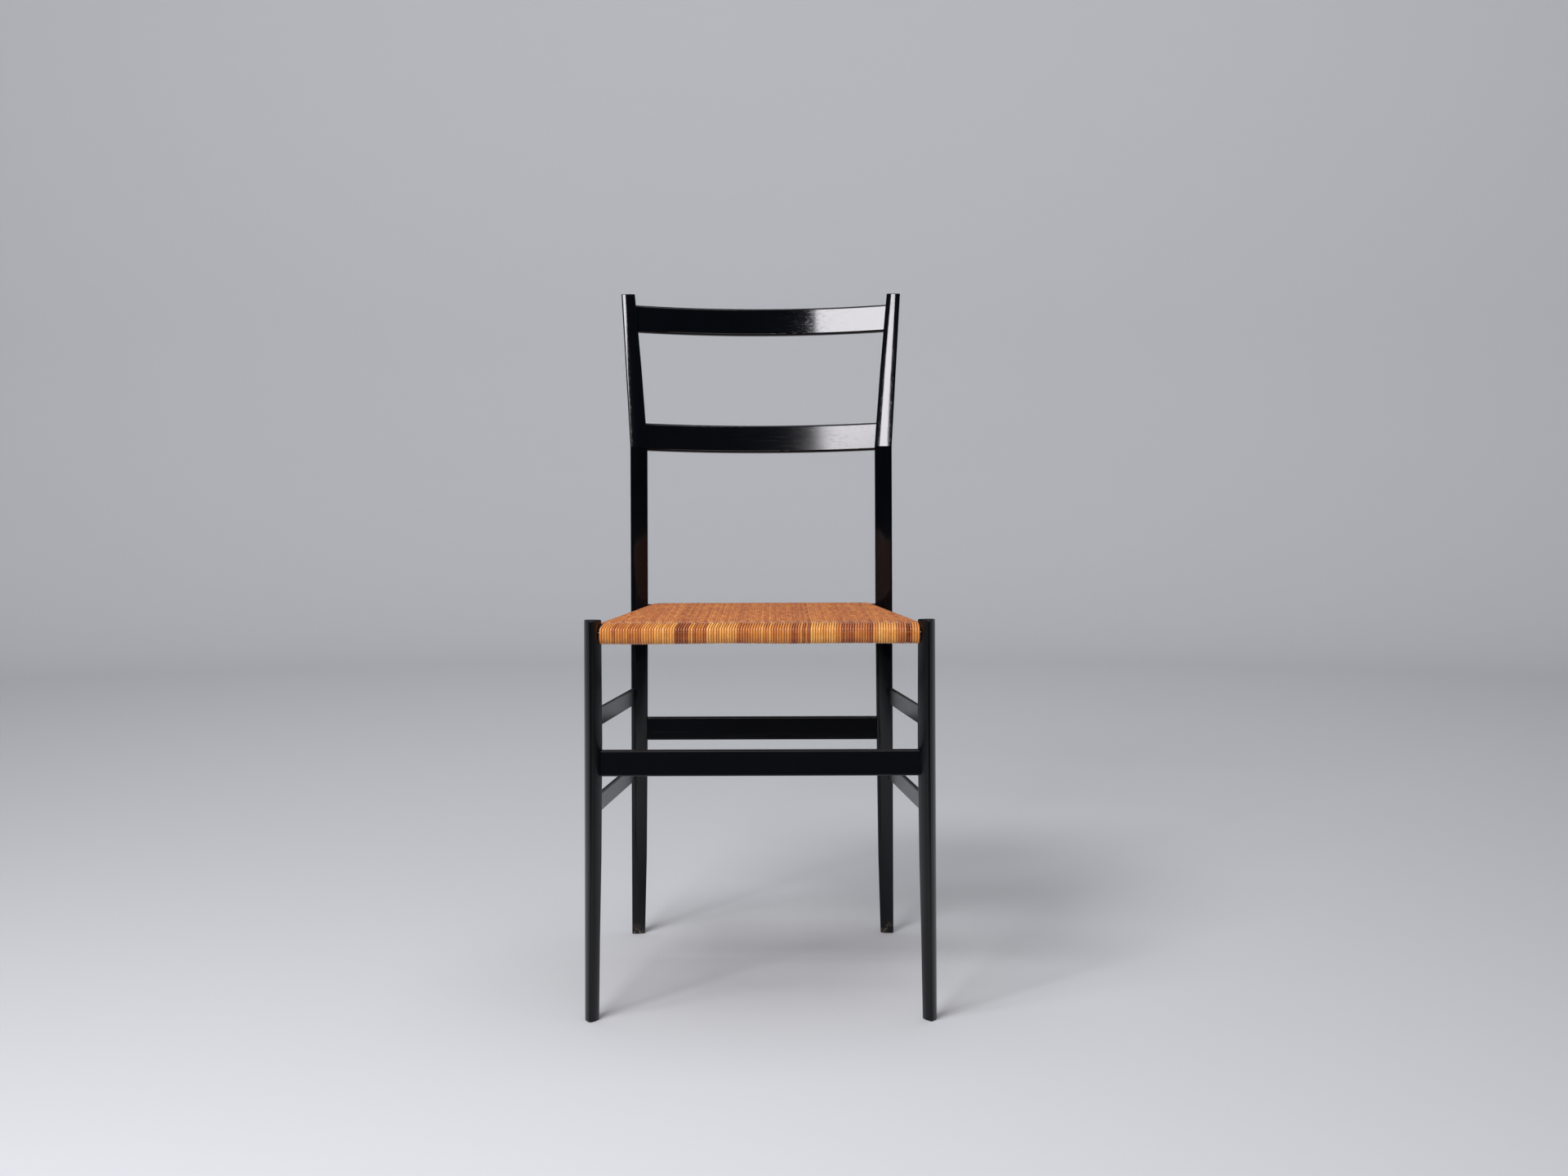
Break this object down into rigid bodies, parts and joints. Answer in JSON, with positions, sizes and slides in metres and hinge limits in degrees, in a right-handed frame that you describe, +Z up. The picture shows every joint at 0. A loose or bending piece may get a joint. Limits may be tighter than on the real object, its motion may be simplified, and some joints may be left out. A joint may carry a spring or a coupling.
{
  "type": "side chair",
  "caption": "Light side chair with slender tapered wooden legs, bent rear posts, curved back slats, flat stretchers and a woven cane seat.",
  "frame": {"origin": "on the floor, under the middle of the chair's overall box", "axes": "+Z up, the chair faces -Y, +X to the right as seen in the picture from the front"},
  "size_m": [0.4028, 0.4618, 0.83],
  "materials": {
    "black_lacquered_ash": "satin black lacquer over fine-grained ash, worn at the edges",
    "woven_cane": "natural split cane, honey to reddish brown, smooth skin side out"
  },
  "bodies": {
    "root": {"front_leg_left": "black_lacquered_ash", "front_leg_right": "black_lacquered_ash", "rear_post_left": "black_lacquered_ash", "rear_post_right": "black_lacquered_ash", "stretcher_front": "black_lacquered_ash", "stretcher_rear": "black_lacquered_ash", "stretcher_left_upper": "black_lacquered_ash", "stretcher_left_lower": "black_lacquered_ash", "stretcher_right_upper": "black_lacquered_ash", "stretcher_right_lower": "black_lacquered_ash", "seat_rail_front": "black_lacquered_ash", "seat_rail_rear": "black_lacquered_ash", "seat_rail_left": "black_lacquered_ash", "seat_rail_right": "black_lacquered_ash", "back_slat_top": "black_lacquered_ash", "back_slat_lower": "black_lacquered_ash", "seat_cane_deck": "woven_cane", "seat_cane_underside": "woven_cane", "seat_cane_turns_front": "woven_cane", "seat_cane_turns_rear": "woven_cane", "seat_cane_turns_left": "woven_cane", "seat_cane_turns_right": "woven_cane"}
  },
  "joints": []
}
